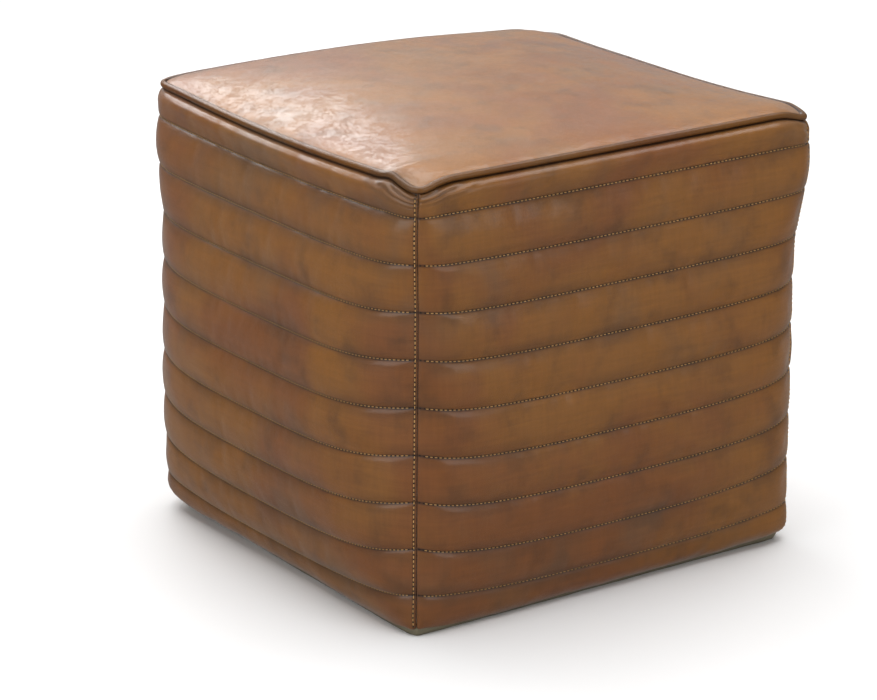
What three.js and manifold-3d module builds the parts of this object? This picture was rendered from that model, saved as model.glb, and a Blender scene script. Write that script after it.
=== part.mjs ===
// A square floor pouf: a quilted leather cover with a piped top, closed underneath by a canvas base with
// a zip, over an inner bag of loose fill. Millimetres, +Z up, origin on the floor under the middle.
// The front panel faces -Y. The other three sides are the front one turned about Z.
import * as THREE from 'three';
import { mergeVertices } from 'three/addons/utils/BufferGeometryUtils.js';
import Module from 'manifold-3d';

// Overall size
const HALF_WIDTH = 206;
const CORNER_RADIUS = 14;
const SEAT_HEIGHT = 420;
const PIPING_HEIGHT = 402;

// Channels of the four side panels
const SEAM_COUNT = 9;
const LOWEST_SEAM = 38;
const SEAM_PITCH = 42;
const CHANNEL_SWELL = 4.5;
const HEM_HEIGHT = 6;
const PANEL_TOP = 398.3;

// How the filled cover stands out and settles
const FACE_BULGE = 34;
const WIDEST_HEIGHT = 180;
const SETTLING = 16;
const FOOT_RADIUS = 26;
const SEAT_CROWN = 15;

// Layers
const LEATHER = 1.3;
const CLEARANCE = 0.3;
const LOOSE_FIT = 2;
const PINCHED_WADDING = 0.6;
const SEAT_WADDING = 8;
const LINING = 0.8;
const CANVAS = 1;
const BAG_CLOTH = 1.2;
const BAG_INSET = 12;
const THREAD = 0.8;
const CORNER_STITCH_AT = 0.9;

// Piping: a cord in a folded strip of leather
const PIPING_RADIUS = 3.3;
const CORD_RADIUS = 1.6;
const PIPING_INSET = 3;
const PIPING_TAIL = 11;

// Base and zip. The zip lies in a shallow channel of the base, clear of the floor.
const BASE_HALF = 190;
const BASE_RADIUS = 9;
const BASE_FLAT_HALF = 176;
const BASE_RIM_LIFT = 8;
const BASE_STEP = 60;
const SLOT_HALF = 7;
const CHANNEL_FLOOR_HALF = 15;
const CHANNEL_HALF = 40;
const CHANNEL_DEPTH = 5;
const ZIP_HALF_LENGTH = 167;
const TAPE_HALF_LENGTH = 175;
const TAPE_THICKNESS = 0.6;
const TAPE_INNER = 3.3;
const TAPE_OUTER = 16;
const TAPE_SEAM = 11;
const TEETH_INNER = 0.75;
const TEETH_WIDTH = 2.2;
const TEETH_HEIGHT = 2.6;
const STOP_LENGTH = 4;
const STOP_HALF_WIDTH = 2.9;
const STOP_HEIGHT = 3;
const SLIDER_X = -152;

// Grid of the draped panels: columns across one side, and the share of them on its straight run
const COLUMNS = 10;
const STRAIGHT_SHARE = 0.8;
const SEAM_GAP = 0.005;
const ROWS = 2 * (SEAM_COUNT + 1);
const RIGHT_ANGLE = Math.PI / 2;

const SIDES = ['front', 'right', 'back', 'left'];

const wasm = await Module();
wasm.setup();

const pouf = new THREE.Group();

const leather = new THREE.MeshStandardMaterial({ color: 0x7d502c, roughness: 0.4 });
const piping = new THREE.MeshStandardMaterial({ color: 0x734524, roughness: 0.4 });
const canvas = new THREE.MeshStandardMaterial({ color: 0x6f6a50, roughness: 0.9 });
const cotton = new THREE.MeshStandardMaterial({ color: 0xd8cdb6, roughness: 0.95 });
const wadding = new THREE.MeshStandardMaterial({ color: 0xe9e6dd, roughness: 1 });
const thread = new THREE.MeshStandardMaterial({ color: 0xa5773b, roughness: 0.7 });
const tape = new THREE.MeshStandardMaterial({ color: 0x4b4234, roughness: 0.9 });
const teeth = new THREE.MeshStandardMaterial({ color: 0x5a4a33, roughness: 0.5 });
const brass = new THREE.MeshStandardMaterial({ color: 0xb08d4f, roughness: 0.35, metalness: 1 });

function add(name, geometry, material) {
  const mesh = new THREE.Mesh(geometry, material);
  mesh.name = name;
  pouf.add(mesh);
  return mesh;
}

// The place of every vertex is worked out anew by place(x, y, z), which returns [x, y, z]
function reshape(geometry, place) {
  const points = geometry.attributes.position;
  for (let i = 0; i < points.count; i += 1) {
    points.setXYZ(i, ...place(points.getX(i), points.getY(i), points.getZ(i)));
  }
  geometry.computeVertexNormals();
  return geometry;
}

// A flat grid one unit thick whose two faces are split along the same diagonals, so that draped
// layers stay parallel
function sheetGrid(width, height, columns, rows) {
  const geometry = new THREE.BoxGeometry(width, height, 1, columns, rows, 1);
  const { start, count } = geometry.groups[5];
  const index = geometry.index;
  for (let i = start; i < start + count; i += 6) {
    const [a, b, d, c] = [index.getX(i), index.getX(i + 1), index.getX(i + 2), index.getX(i + 4)];
    [a, b, c, a, c, d].forEach((corner, k) => index.setX(i + k, corner));
  }
  return geometry;
}

function solidOf(geometry) {
  const bare = geometry.clone();
  bare.deleteAttribute('normal');
  bare.deleteAttribute('uv');
  const merged = mergeVertices(bare, 1e-4);
  const vertProperties = new Float32Array(merged.attributes.position.array);
  const triVerts = new Uint32Array(merged.index.array);
  return new wasm.Manifold(new wasm.Mesh({ numProp: 3, vertProperties, triVerts }));
}

function geometryOf(solid) {
  const mesh = solid.getMesh();
  const geometry = new THREE.BufferGeometry();
  geometry.setAttribute('position', new THREE.BufferAttribute(mesh.vertProperties, 3));
  geometry.setIndex(new THREE.BufferAttribute(mesh.triVerts, 1));
  geometry.computeVertexNormals();
  return geometry;
}

function box(x0, x1, y0, y1, z0, z1) {
  const geometry = new THREE.BoxGeometry(x1 - x0, y1 - y0, z1 - z0);
  return geometry.translate((x0 + x1) / 2, (y0 + y1) / 2, (z0 + z1) / 2);
}

// ---- The filled shape ----

function faceBulge(z) {
  const reach = z > WIDEST_HEIGHT ? PIPING_HEIGHT + 3 - WIDEST_HEIGHT : WIDEST_HEIGHT + 10;
  return FACE_BULGE * Math.cos((RIGHT_ANGLE * (z - WIDEST_HEIGHT)) / reach);
}

function settling(z) {
  return SETTLING * (1 - z / PIPING_HEIGHT) ** 2 * Math.min(1, z / 50);
}

function footInset(z) {
  const drop = Math.max(0, FOOT_RADIUS - z);
  return FOOT_RADIUS - Math.sqrt(FOOT_RADIUS ** 2 - drop ** 2);
}

// A point of a rounded square's front edge. t runs from -1 to 1 between its two corners.
function squareEdge(t, half, radius) {
  const along = Math.abs(t);
  const run = half - radius;
  if (along <= STRAIGHT_SHARE) {
    return [(t / STRAIGHT_SHARE) * run, -half];
  }
  const turn = ((along - STRAIGHT_SHARE) / (1 - STRAIGHT_SHARE)) * (Math.PI / 4);
  return [Math.sign(t) * (run + radius * Math.sin(turn)), -(run + radius * Math.cos(turn))];
}

// A point of the front side at height z, "out" mm outside the line of its seams
function frontPoint(t, z, out) {
  const half = HALF_WIDTH - footInset(z) + out;
  const radius = CORNER_RADIUS + out;
  const [x, y] = squareEdge(t, half, radius);
  const corner = half - radius * (1 - Math.SQRT1_2);
  const share = 1 - Math.abs(x / corner) ** 3;
  return [x, y - faceBulge(z) * share, z - settling(z) * share];
}

function turned([x, y, z], quarter) {
  const c = Math.round(Math.cos(quarter * RIGHT_ANGLE));
  const s = Math.round(Math.sin(quarter * RIGHT_ANGLE));
  return [c * x - s * y, s * x + c * y, z];
}

// Rows count up from the hem: even rows lie on seams, odd rows on the middles of channels
function rowHeight(row) {
  const edge = (k) => {
    if (k <= 0) return HEM_HEIGHT;
    return k > SEAM_COUNT ? PANEL_TOP : LOWEST_SEAM + (k - 1) * SEAM_PITCH;
  };
  const low = edge(Math.floor(row / 2));
  const high = edge(Math.floor(row / 2) + 1);
  return low + (high - low) * ((row % 2) / 2);
}

// How far a channel swells out: full in its middle, little next to the corner seams
function swell(t, row) {
  const middle = 1 - Math.abs((row % 2) - 1);
  return CHANNEL_SWELL * middle * (1 - 0.7 * Math.abs(t) ** 6);
}

// ---- Sides ----

function sideLayer(rows, inner, outer) {
  const step = ROWS / rows;
  const geometry = sheetGrid(2, rows, COLUMNS, rows);
  return reshape(geometry, (x, y, z) => {
    const t = x * (1 - SEAM_GAP);
    const row = (y + rows / 2) * step;
    const out = z > 0 ? outer(t, row) : inner(t, row);
    return frontPoint(t, rowHeight(row), out);
  });
}

function cornerStitching() {
  const cornerTurn = (CORNER_RADIUS * Math.PI) / 4 / (1 - STRAIGHT_SHARE);
  const halfWidth = THREAD / 2 / cornerTurn;
  const geometry = sheetGrid(2, ROWS - 2, 1, ROWS - 2);
  return reshape(geometry, (x, y, z) => {
    const t = CORNER_STITCH_AT + x * halfWidth;
    const row = y + ROWS / 2;
    const lift = CLEARANCE + (z > 0 ? THREAD : 0);
    return frontPoint(t, rowHeight(row), lift + swell(t, row));
  });
}

function buildSides() {
  const pinched = -LEATHER - CLEARANCE;
  const waddingBack = pinched - PINCHED_WADDING;
  const liningFace = waddingBack - LOOSE_FIT;
  SIDES.forEach((side, quarter) => {
    const pieces = [
      add(`side_panel_${side}`, sideLayer(ROWS, (t, r) => swell(t, r) - LEATHER, swell), leather),
      add(`side_wadding_${side}`,
        sideLayer(ROWS, () => waddingBack, (t, r) => swell(t, r) + pinched), wadding),
      add(`side_lining_${side}`,
        sideLayer(ROWS / 4, () => liningFace - LINING, () => liningFace), cotton),
      add(`corner_stitching_${side}`, cornerStitching(), thread),
    ];
    pieces.forEach((piece) => {
      piece.rotation.z = quarter * RIGHT_ANGLE;
    });
  });
}

// ---- Top ----

// Height of the seat's upper face, from its middle (reach 0) to the piping (reach 1)
function seatHeight(reach) {
  return SEAT_HEIGHT - SEAT_CROWN * reach ** 2.6;
}

// A flat square layer whose square rings become rounded squares; heights(reach) gives [bottom, top]
function squareLayer(half, radius, heights) {
  const geometry = sheetGrid(2, 2, COLUMNS, COLUMNS);
  return reshape(geometry, (x, y, z) => {
    const reach = Math.max(Math.abs(x), Math.abs(y));
    const [bottom, top] = heights(reach);
    const height = z > 0 ? top : bottom;
    if (reach === 0) return [0, 0, height];
    let quarter = y > 0 ? 2 : 0;
    let t = (y > 0 ? -x : x) / reach;
    if (Math.abs(x) > Math.abs(y)) {
      quarter = x > 0 ? 1 : 3;
      t = (x > 0 ? y : -y) / reach;
    }
    const [ex, ey] = squareEdge(t, half, radius);
    return turned([ex * reach, ey * reach, height], quarter);
  });
}

function buildTop() {
  const edge = HALF_WIDTH - PIPING_INSET - PIPING_RADIUS - CLEARANCE;
  const inner = HALF_WIDTH - PIPING_INSET - PIPING_TAIL - CLEARANCE;
  const share = inner / edge;
  const waddingTop = (reach) => seatHeight(reach * share) - LEATHER - 4 * CLEARANCE;
  const waddingBottom = (reach) => waddingTop(reach) - SEAT_WADDING * (1 - 0.6 * reach ** 2);
  const radius = CORNER_RADIUS - PIPING_INSET;
  add('top_panel', squareLayer(edge, radius - PIPING_RADIUS,
    (reach) => [seatHeight(reach) - LEATHER, seatHeight(reach)]), leather);
  add('top_wadding', squareLayer(inner, radius / 2,
    (reach) => [waddingBottom(reach), waddingTop(reach)]), wadding);
  add('top_lining', squareLayer(inner, radius / 2,
    (reach) => [waddingBottom(reach) - CLEARANCE - LINING, waddingBottom(reach) - CLEARANCE]), cotton);
}

// ---- Piping ----

// Sweeps a closed section round the top edge. The section's x points outwards and its y up.
function topLoop(section) {
  const steps = 4 * COLUMNS;
  const points = section.map(([out, up]) => new THREE.Vector2(out + 100, up));
  points.push(points[0].clone());
  return reshape(new THREE.LatheGeometry(points, steps), (x, y, z) => {
    const out = Math.hypot(x, z) - 100;
    const turn = Math.atan2(x, z) / RIGHT_ANGLE;
    const quarter = Math.round(turn);
    const half = HALF_WIDTH - PIPING_INSET + out;
    const radius = Math.max(1, CORNER_RADIUS - PIPING_INSET + out);
    const [ex, ey] = squareEdge((turn - quarter) * 2, half, radius);
    return turned([ex, ey, PIPING_HEIGHT + y], quarter);
  });
}

function arc(radius, from, to, steps) {
  return Array.from({ length: steps + 1 }, (_, i) => {
    const angle = from + ((to - from) * i) / steps;
    return [radius * Math.cos(angle), radius * Math.sin(angle)];
  });
}

function buildPiping() {
  const slit = 0.3;
  const strip = 1;
  const bore = PIPING_RADIUS - strip;
  const outerAngle = Math.asin((slit + strip) / PIPING_RADIUS);
  const innerAngle = Math.asin(slit / bore);
  const section = [
    [-PIPING_TAIL, -slit - strip],
    ...arc(PIPING_RADIUS, -Math.PI + outerAngle, Math.PI - outerAngle, 7),
    [-PIPING_TAIL, slit + strip],
    [-PIPING_TAIL, slit],
    ...arc(bore, Math.PI - innerAngle, -Math.PI + innerAngle, 5),
    [-PIPING_TAIL, -slit],
  ];
  const cord = arc(CORD_RADIUS, 0, Math.PI * 2 * (5 / 6), 5);
  add('piping_wrap', topLoop(section), piping);
  add('piping_cord', topLoop(cord), cotton);
}

// ---- Base ----

const BASE_RIM = [-BASE_HALF, -BASE_FLAT_HALF];
const BASE_LINES_Y = [...BASE_RIM, -2 * BASE_STEP, -CHANNEL_HALF, -CHANNEL_FLOOR_HALF, -SLOT_HALF];
const BASE_MIDDLE = [-2, -1, 0, 1, 2].map((k) => k * BASE_STEP);
const BASE_LINES_X = [...BASE_RIM, ...BASE_MIDDLE, BASE_FLAT_HALF, BASE_HALF];

function baseHeight(x, y) {
  const rim = (Math.max(Math.abs(x), Math.abs(y)) - BASE_FLAT_HALF) / (BASE_HALF - BASE_FLAT_HALF);
  const rise = (CHANNEL_HALF - Math.abs(y)) / (CHANNEL_HALF - CHANNEL_FLOOR_HALF);
  const clamp = (value) => Math.min(1, Math.max(0, value));
  return Math.max(BASE_RIM_LIFT * clamp(rim), CHANNEL_DEPTH * clamp(rise));
}

function roundedCorner(x, y) {
  const run = BASE_HALF - BASE_RADIUS;
  const dx = Math.abs(x) - run;
  const dy = Math.abs(y) - run;
  if (dx <= 0 || dy <= 0) return [x, y];
  const scale = Math.max(dx, dy) / Math.hypot(dx, dy);
  return [Math.sign(x) * (run + dx * scale), Math.sign(y) * (run + dy * scale)];
}

function basePanel() {
  const nx = BASE_LINES_X.length - 1;
  const ny = BASE_LINES_Y.length - 1;
  const geometry = sheetGrid(nx, ny, nx, ny);
  return reshape(geometry, (i, j, k) => {
    const x = BASE_LINES_X[Math.round(i + nx / 2)];
    const y = BASE_LINES_Y[Math.round(j + ny / 2)];
    return [...roundedCorner(x, y), baseHeight(x, y) + (k > 0 ? CANVAS : 0)];
  });
}

function buildBase() {
  const tapeBottom = CHANNEL_DEPTH + CANVAS + CLEARANCE;
  const tapeMiddle = tapeBottom + TAPE_THICKNESS / 2;
  const stitchTop = CHANNEL_DEPTH - CLEARANCE;
  [['front', 0], ['rear', 2]].forEach(([half, quarter]) => {
    const tapeShape = box(-TAPE_HALF_LENGTH, TAPE_HALF_LENGTH, -TAPE_OUTER, -TAPE_INNER,
      tapeBottom, tapeBottom + TAPE_THICKNESS);
    const teethShape = box(-ZIP_HALF_LENGTH, ZIP_HALF_LENGTH, -TEETH_INNER - TEETH_WIDTH, -TEETH_INNER,
      tapeMiddle - TEETH_HEIGHT / 2, tapeMiddle + TEETH_HEIGHT / 2);
    const stitchShape = box(-TAPE_HALF_LENGTH, TAPE_HALF_LENGTH,
      -TAPE_SEAM - THREAD / 2, -TAPE_SEAM + THREAD / 2, stitchTop - THREAD, stitchTop);
    const pieces = [
      add(`base_panel_${half}`, basePanel(), canvas),
      add(`zip_tape_${half}`, tapeShape, tape),
      add(`zip_teeth_${half}`, teethShape, teeth),
      add(`zip_stitching_${half}`, stitchShape, thread),
    ];
    pieces.forEach((piece) => {
      piece.rotation.z = quarter * RIGHT_ANGLE;
    });
  });
  const stopEnd = ZIP_HALF_LENGTH + CLEARANCE;
  const stop = () => box(stopEnd, stopEnd + STOP_LENGTH, -STOP_HALF_WIDTH, STOP_HALF_WIDTH,
    tapeMiddle - STOP_HEIGHT / 2, tapeMiddle + STOP_HEIGHT / 2);
  add('zip_bottom_stop', stop(), brass);
  add('zip_top_stop', stop(), brass).rotation.z = 2 * RIGHT_ANGLE;
}

// ---- Zip slider and its pull ----

const PLATE_BOTTOM = 3.5;
const PLATE_THICKNESS = 1;
const PLATE_HALF_LENGTH = 8;
const PLATE_HALF_WIDTH = 5.5;
const INNER_PLATE_BOTTOM = 8.3;
const WELD = 0.5;
const RAIL_WIDTH = 0.8;
const RAIL_HEIGHT = 1.2;
const RAIL_HALF_LENGTH = 6;
const ARCH_BOTTOM = 1;
const ARCH_INSIDE = 2.9;
const ARCH_HALF_LENGTH = 4.4;
const ARCH_STRAP = 0.8;
const PULL_AXIS_HEIGHT = 2.65;
const PULL_LENGTH = 26;
const PULL_HALF_WIDTH = 3.1;
const PULL_THICKNESS = 1.1;
const PULL_BAR = 0.55;
const PULL_EYE_LENGTH = 6.5;
const PULL_EYE_HALF_WIDTH = 1.6;

// A slider plate: broad where the two rows of teeth enter it, narrow where they leave joined
function plate(bottom) {
  const long = PLATE_HALF_LENGTH;
  const wide = PLATE_HALF_WIDTH;
  const outline = new THREE.Shape();
  outline.moveTo(-long, -0.6 * wide);
  outline.quadraticCurveTo(-long, -wide, 3 - long, -wide);
  outline.lineTo(long - 5, -wide);
  outline.quadraticCurveTo(long, -wide, long, -0.7 * wide);
  outline.lineTo(long, 0.7 * wide);
  outline.quadraticCurveTo(long, wide, long - 5, wide);
  outline.lineTo(3 - long, wide);
  outline.quadraticCurveTo(-long, wide, -long, 0.6 * wide);
  outline.closePath();
  const extrusion = { depth: PLATE_THICKNESS, bevelEnabled: false, curveSegments: 3 };
  return new THREE.ExtrudeGeometry(outline, extrusion).translate(0, 0, bottom);
}

function buildSlider() {
  const plateTop = PLATE_BOTTOM + PLATE_THICKNESS;
  const wide = PLATE_HALF_WIDTH;
  const rail = (y) => box(-RAIL_HALF_LENGTH, RAIL_HALF_LENGTH, y, y + RAIL_WIDTH,
    plateTop - WELD, plateTop + RAIL_HEIGHT);
  const leg = (x0, x1) => box(x0, x1, -ARCH_STRAP, ARCH_STRAP, ARCH_BOTTOM, PLATE_BOTTOM + WELD);
  const wedge = box(PLATE_HALF_LENGTH - 4, PLATE_HALF_LENGTH - 0.6, -0.45, 0.45,
    plateTop - WELD, INNER_PLATE_BOTTOM + WELD);
  const bridge = box(-ARCH_HALF_LENGTH, ARCH_HALF_LENGTH, -ARCH_STRAP, ARCH_STRAP,
    ARCH_BOTTOM, ARCH_BOTTOM + ARCH_STRAP);
  const bodies = [
    plate(INNER_PLATE_BOTTOM),
    wedge,
    rail(-wide),
    rail(wide - RAIL_WIDTH),
    leg(-ARCH_HALF_LENGTH, -ARCH_INSIDE),
    leg(ARCH_INSIDE, ARCH_HALF_LENGTH),
    bridge,
  ];
  const joined = bodies.reduce((sum, body) => sum.add(solidOf(body)), solidOf(plate(PLATE_BOTTOM)));
  add('zip_slider', geometryOf(joined), brass).position.x = SLIDER_X;
}

// The pull's eye goes round the slider's arch: it turns about the crossbar of that eye, along Y
function buildPull() {
  const shoulder = PULL_EYE_LENGTH + 1.5;
  const tip = PULL_LENGTH - PULL_HALF_WIDTH;
  const outline = new THREE.Shape();
  outline.moveTo(-PULL_BAR, -0.9 * PULL_HALF_WIDTH);
  outline.lineTo(shoulder, -PULL_HALF_WIDTH);
  outline.lineTo(tip, -PULL_HALF_WIDTH);
  outline.absarc(tip, 0, PULL_HALF_WIDTH, -RIGHT_ANGLE, RIGHT_ANGLE);
  outline.lineTo(shoulder, PULL_HALF_WIDTH);
  outline.lineTo(-PULL_BAR, 0.9 * PULL_HALF_WIDTH);
  outline.closePath();
  const eye = new THREE.Path();
  eye.moveTo(PULL_BAR, -PULL_EYE_HALF_WIDTH);
  eye.lineTo(PULL_EYE_LENGTH, -PULL_EYE_HALF_WIDTH);
  eye.lineTo(PULL_EYE_LENGTH, PULL_EYE_HALF_WIDTH);
  eye.lineTo(PULL_BAR, PULL_EYE_HALF_WIDTH);
  eye.closePath();
  outline.holes.push(eye);
  const extrusion = { depth: PULL_THICKNESS, bevelEnabled: false, curveSegments: 6 };
  const geometry = new THREE.ExtrudeGeometry(outline, extrusion);
  geometry.translate(SLIDER_X, 0, PULL_AXIS_HEIGHT - PULL_THICKNESS / 2);
  add('zip_pull', geometry, brass);
}

// ---- Inner bag and fill ----

const BAG_TOP = 404;
const BAG_LEVELS = [332, 248, 164, 80];
const BAG_MOUTH = 22;
const LID_BOTTOM = 10.3;
const LID_HALF = 178;

// A turned profile whose circles become the pouf's own plan. Each profile point is [reach, height, out].
function planLathe(profile) {
  const points = profile.map(([reach, height]) => new THREE.Vector2(reach, height));
  const geometry = new THREE.LatheGeometry(points, 4 * COLUMNS);
  const count = profile.length;
  const positions = geometry.attributes.position;
  for (let i = 0; i < positions.count; i += 1) {
    const [reach, height, out] = profile[i % count];
    const turn = (4 * Math.floor(i / count)) / (4 * COLUMNS);
    const quarter = Math.round(turn);
    const [x, y, z] = turned(frontPoint((turn - quarter) * 2, height, out), quarter);
    positions.setXYZ(i, x * reach, y * reach, reach === 0 ? height : z);
  }
  geometry.computeVertexNormals();
  return geometry;
}

function buildFilling() {
  const out = (inside) => -BAG_INSET - inside;
  const shell = (inside) => [
    [0, BAG_TOP - inside, out(inside)],
    [0.6, BAG_TOP - 3 - inside, out(inside)],
    [0.97, BAG_TOP - 13 - inside, out(inside)],
    ...BAG_LEVELS.map((level) => [1, level, out(inside)]),
    [0.98, BAG_MOUTH, out(inside)],
  ];
  const bag = [...shell(BAG_CLOTH), ...shell(0).reverse()];
  const fill = [[0, BAG_MOUTH, 0], ...shell(BAG_CLOTH + 3 * LOOSE_FIT).reverse()];
  add('inner_bag', planLathe(bag), cotton);
  add('loose_fill', planLathe(fill), wadding);
  const lidTop = LID_BOTTOM + LINING;
  add('inner_bag_lid', box(-LID_HALF, LID_HALF, -LID_HALF, LID_HALF, LID_BOTTOM, lidTop), cotton);
}

buildSides();
buildTop();
buildPiping();
buildBase();
buildSlider();
buildPull();
buildFilling();

export default pouf;
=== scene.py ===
"""A square leather floor pouf: channel-quilted sides, a piped top and a canvas base with a zip.

Lengths are in millimetres until mesh_object() turns them into metres. A side's own coordinates are
"along", from its left-hand corner to its right-hand one seen from outside, "out" from the pouf's axis,
and "up" from the floor. The front side faces -Y, and the others are turned about Z.
"""
import math

import bpy
import numpy as np
from mathutils import Matrix, Vector


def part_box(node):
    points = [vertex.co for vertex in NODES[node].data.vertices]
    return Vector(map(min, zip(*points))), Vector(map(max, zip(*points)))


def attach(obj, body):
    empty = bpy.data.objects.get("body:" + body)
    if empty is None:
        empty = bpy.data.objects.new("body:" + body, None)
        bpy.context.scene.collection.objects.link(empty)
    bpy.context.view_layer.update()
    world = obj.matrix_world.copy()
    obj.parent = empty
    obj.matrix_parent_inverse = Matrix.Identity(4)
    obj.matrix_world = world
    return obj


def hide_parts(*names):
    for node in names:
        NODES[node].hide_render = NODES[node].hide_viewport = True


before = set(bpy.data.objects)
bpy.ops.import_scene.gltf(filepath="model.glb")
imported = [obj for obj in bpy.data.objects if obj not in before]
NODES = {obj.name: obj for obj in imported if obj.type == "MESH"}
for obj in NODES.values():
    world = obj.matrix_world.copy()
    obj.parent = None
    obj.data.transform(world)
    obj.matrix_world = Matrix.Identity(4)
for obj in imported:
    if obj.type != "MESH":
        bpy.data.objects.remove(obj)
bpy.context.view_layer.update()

MM = 0.001
COVER = "cover"
SIDES = ("front", "right", "back", "left")


def node_box(node):
    """The lowest and highest corner of a CAD node, in millimetres."""
    low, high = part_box(node)
    return np.array(low) / MM, np.array(high) / MM


PIPING_LOW, PIPING_HIGH = node_box("piping_wrap")
BASE_LOW, BASE_HIGH = node_box("base_panel_rear")

# Channels of the sides, as in the CAD panels
SEAMS = 9
LOWEST_SEAM = 38
SEAM_PITCH = 42
HEM = 2.6
PIPING_UP = (PIPING_LOW[2] + PIPING_HIGH[2]) / 2
PIPING_RADIUS = (PIPING_HIGH[2] - PIPING_LOW[2]) / 2
PIPING_HALF = PIPING_HIGH[0] - PIPING_RADIUS
PANEL_TOP = PIPING_UP - 2.3

# The filled shape
CORNER_HALF = 202.5
WIDEST = 185
BULGE = {"front": 36, "right": 19, "back": 25, "left": 30}
LEAST_BULGE = {"front": 5, "right": 1.5, "back": 5, "left": 5}
BULGE_ABOVE, BULGE_BELOW = 233, 195
SETTLING = 18.5
SETTLED_UP = 60
FOOT = 13
CORNER_FOOT = (-7, 3, 4, 12)
SHOULDER = 6
SHOULDER_UP = 360
SHOULDER_SPREAD = 56
CHANNEL_SWELL = 3.9
FILLING_SWELL = 2.3
TOP_ROLL = 5.6
FOLD_PITCH = 4.6
FOLD_DEPTH = 1.2
LEATHER = 1.56
FAR = 50

# How the top edge bows out and sags between its corners, and how each corner of it dips.
# Corner i lies at the right-hand end of side i.
EDGE_BOW = {"front": 6, "right": 2, "back": 4, "left": 3}
EDGE_SAG = {"front": 3, "right": 0, "back": 9.5, "left": -2}
CORNER_DIP = (6, 6, 4, 1)
CORNER_OUT = (0, 3, 0, 0)

# How the filling has let each top corner lean: (outward of side i, outward of side i + 1), and sink
CORNER_LEAN = ((-3, 4), (0, 0), (8, -14), (1, -10))
CORNER_SINK = (0, 0, 6, 0)
SINK_REACH = 110
DIP_REACH = 17
DIP_DEEP = 22
PUCKER_DEPTH, PUCKER_FROM_CORNER, PUCKER_REACH = 2.0, 31, 9
LEAN_REACH = 0.55
LEAN_POWER = 1.3
EDGE_FROM = 300
MIDDLE_UP = 205.0

# Grids of the side panels. Columns lie closer together beside the corners.
ROWS = 12
TOP_ROWS = 40
CHANNEL_ROWS = [ROWS] * SEAMS + [TOP_ROWS]
COLUMNS = 208
CORNER_COLUMNS = (0.5, 1.1, 1.9, 2.9, 4.2, 5.8, 7.6)
INNER_STEP = 4

STITCH_PITCH = 4.0
CORNER_STITCH_PITCH = 4.1
CORNER_STITCH_IN = 2.3
ROW_END = 6


# ---- Meshes ----

def placed(name, data):
    """A new object in the scene."""
    made = bpy.data.objects.new(name, data)
    bpy.context.scene.collection.objects.link(made)
    return made


def mesh_object(name, points, faces, **attributes):
    """A smooth mesh from points in millimetres and a list of face arrays, riding on the cover."""
    points = np.asarray(points, float).reshape(-1, 3) * MM
    faces = [np.asarray(f, np.int32) for f in faces if len(f)]
    corners = np.concatenate([f.ravel() for f in faces])
    sizes = np.concatenate([np.full(len(f), f.shape[1]) for f in faces])
    starts = np.concatenate([[0], np.cumsum(sizes)[:-1]]).astype(np.int32)
    mesh = bpy.data.meshes.new(name)
    mesh.vertices.add(len(points))
    mesh.vertices.foreach_set("co", points.astype(np.float32).ravel())
    mesh.loops.add(len(corners))
    mesh.loops.foreach_set("vertex_index", corners)
    mesh.polygons.add(len(sizes))
    mesh.polygons.foreach_set("loop_start", starts)
    mesh.polygons.foreach_set("use_smooth", np.ones(len(sizes), bool))
    mesh.update(calc_edges=True)
    for key, values in attributes.items():
        made = mesh.attributes.new(key, "FLOAT", "POINT")
        made.data.foreach_set("value", np.asarray(values, np.float32).ravel())
    piece = placed(name, mesh)
    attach(piece, COVER)
    return piece


def grid_quads(rows, columns, start=0, wrap=False, ring=False):
    """Quads of a grid whose points are numbered row by row. With wrap its last column meets its first, and
    with ring its last row does."""
    index = np.arange(rows * columns).reshape(rows, columns) + start
    index = np.pad(index, ((0, int(ring)), (0, int(wrap))), mode="wrap")
    return np.stack([index[:-1, :-1], index[:-1, 1:], index[1:, 1:], index[1:, :-1]], -1).reshape(-1, 4)


def border(rows, columns):
    """Point numbers round a grid's edge, once round against the clock seen from its outer side."""
    index = np.arange(rows * columns).reshape(rows, columns)
    return np.concatenate([index[0, :-1], index[:-1, -1], index[-1, :0:-1], index[:0:-1, 0]])


def shell(outer, inner, step=1):
    """Points and faces of a closed layer between two grids. The inner one has every step-th row and column."""
    rows, columns = outer.shape[:2]
    inner_rows, inner_columns = inner.shape[:2]
    start = rows * columns
    rim, inner_rim = border(rows, columns), border(inner_rows, inner_columns) + start
    wide = [np.roll(rim, -k)[::step] for k in range(step + 1)]
    sides = np.stack([inner_rim, np.roll(inner_rim, -1), *wide[::-1]], -1)
    faces = [grid_quads(rows, columns), grid_quads(inner_rows, inner_columns, start)[:, ::-1], sides]
    return np.concatenate([outer.reshape(-1, 3), inner.reshape(-1, 3)]), faces


def tubes(rings, around, count=1, inside_out=False):
    """Sides and ends of so many closed tubes, each through its own rings of points."""
    first = np.arange(around)
    ends = np.stack([first[::-1], first + (rings - 1) * around])
    starts = (np.arange(count) * rings * around)[:, None, None]
    faces = [(part + starts).reshape(-1, part.shape[1])
             for part in (grid_quads(rings, around, wrap=True), ends)]
    return [part[:, ::-1] for part in faces] if inside_out else faces


def travelled(line):
    """The length along a line of points at each of them."""
    return np.concatenate([[0], np.cumsum(np.linalg.norm(np.diff(line, axis=0), axis=1))])


def unit(vectors):
    """Vectors made one long."""
    return vectors / np.linalg.norm(vectors, axis=-1, keepdims=True)


def loop_ways(line):
    """Unit vectors outward and upward from a closed line, square to it."""
    way = unit(np.roll(line, -1, 0) - np.roll(line, 1, 0))
    out = unit(np.cross(way, [0, 0, 1]))
    return out, np.cross(out, way)


def normals(grid):
    """Unit normals of a grid of points, pointing to its outer side."""
    return unit(np.cross(np.gradient(grid, axis=1), np.gradient(grid, axis=0)))


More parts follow.
